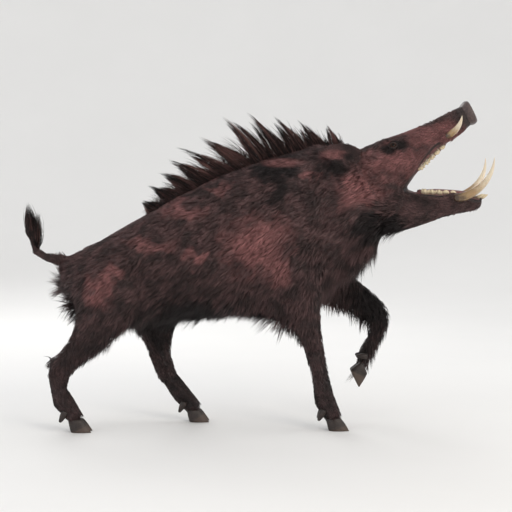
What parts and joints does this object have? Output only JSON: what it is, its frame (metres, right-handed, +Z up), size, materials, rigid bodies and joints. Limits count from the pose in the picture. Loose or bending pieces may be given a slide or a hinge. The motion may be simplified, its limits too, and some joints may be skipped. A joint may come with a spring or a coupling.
{
  "type": "wild boar",
  "caption": "Life-size standing wild boar, head thrown up with jaws open, curved tusks, a crest of bristles and the left forefoot lifted.",
  "frame": {"origin": "on the floor, under the middle of the box round the animal", "axes": "+X towards the snout, +Y to the animal's left, +Z up"},
  "size_m": [1.6172, 0.398, 1.1302],
  "materials": {
    "coat": "dark brown winter coat, coarse and matt",
    "bristle": "black-brown bristles",
    "nose": "moist dark skin",
    "ivory": "polished, stained at the root",
    "horn": "worn dark horn",
    "eye": "wet and dark",
    "tongue": "wet pink flesh"
  },
  "bodies": {
    "root": {"ear_left": "coat", "ear_right": "coat", "eye_left": "eye", "eye_right": "eye", "foreleg_left_dewclaw_left": "horn", "foreleg_left_dewclaw_right": "horn", "foreleg_left_lower": "coat", "foreleg_left_toe_left": "horn", "foreleg_left_toe_right": "horn", "foreleg_left_upper": "coat", "foreleg_right_dewclaw_left": "horn", "foreleg_right_dewclaw_right": "horn", "foreleg_right_lower": "coat", "foreleg_right_toe_left": "horn", "foreleg_right_toe_right": "horn", "foreleg_right_upper": "coat", "head": "coat", "hindleg_left_dewclaw_left": "horn", "hindleg_left_dewclaw_right": "horn", "hindleg_left_lower": "coat", "hindleg_left_toe_left": "horn", "hindleg_left_toe_right": "horn", "hindleg_left_upper": "coat", "hindleg_right_dewclaw_left": "horn", "hindleg_right_dewclaw_right": "horn", "hindleg_right_lower": "coat", "hindleg_right_toe_left": "horn", "hindleg_right_toe_right": "horn", "hindleg_right_upper": "coat", "lower_jaw": "coat", "mane": "bristle", "neck": "coat", "nose_disc": "nose", "tail": "coat", "tail_tuft": "bristle", "tongue": "tongue", "trunk": "coat", "tusk_lower_left": "ivory", "tusk_lower_right": "ivory", "tusk_upper_left": "ivory", "tusk_upper_right": "ivory"}
  },
  "joints": []
}
